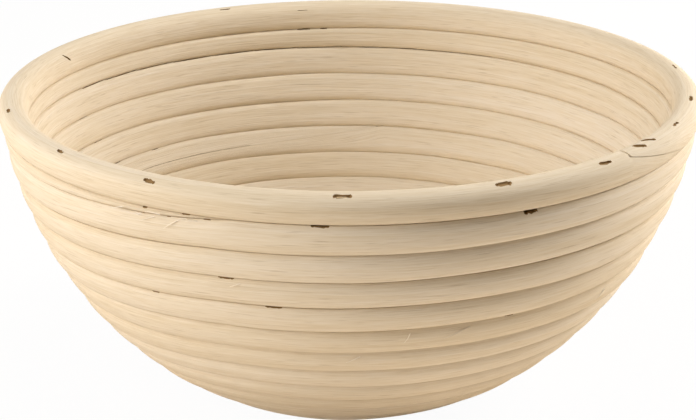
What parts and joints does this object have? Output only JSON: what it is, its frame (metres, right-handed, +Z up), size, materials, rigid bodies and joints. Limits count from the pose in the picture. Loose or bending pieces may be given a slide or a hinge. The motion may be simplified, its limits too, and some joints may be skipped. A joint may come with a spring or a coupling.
{
  "type": "rattan proofing basket",
  "caption": "Round bowl-shaped basket wound from stapled turns of round rattan cane, in which bread dough proves and takes the print of the turns.",
  "frame": {"origin": "middle of the flat base, at the level the basket stands on", "axes": "+Z up through the mouth of the bowl; the tapered end of the wall cane and the rim's scarf face -Y"},
  "size_m": [0.2198, 0.2198, 0.0977],
  "materials": {
    "rattan": "raw, sanded core cane with fine pores along its length",
    "staple": "drawn wire, dulled by flour and wood"
  },
  "bodies": {
    "root": {"base_cane": "rattan", "rim_cane": "rattan", "wall_cane": "rattan", "rim_staple_01": "staple", "rim_staple_02": "staple", "rim_staple_03": "staple", "rim_staple_04": "staple", "rim_staple_05": "staple", "rim_staple_06": "staple", "rim_staple_07": "staple", "rim_staple_08": "staple", "rim_staple_09": "staple", "rim_staple_10": "staple", "rim_staple_11": "staple", "rim_staple_12": "staple", "rim_staple_13": "staple", "rim_staple_14": "staple", "rim_staple_15": "staple", "rim_staple_16": "staple", "rim_staple_17": "staple", "wall_staple_01": "staple", "wall_staple_02": "staple", "wall_staple_03": "staple", "wall_staple_04": "staple", "wall_staple_05": "staple", "wall_staple_06": "staple", "wall_staple_07": "staple", "wall_staple_08": "staple", "wall_staple_09": "staple", "wall_staple_10": "staple", "wall_staple_11": "staple", "wall_staple_12": "staple", "wall_staple_13": "staple", "wall_staple_14": "staple", "wall_staple_15": "staple", "wall_staple_16": "staple", "wall_staple_17": "staple", "wall_staple_18": "staple", "wall_staple_19": "staple", "wall_staple_20": "staple", "wall_staple_21": "staple"}
  },
  "joints": []
}
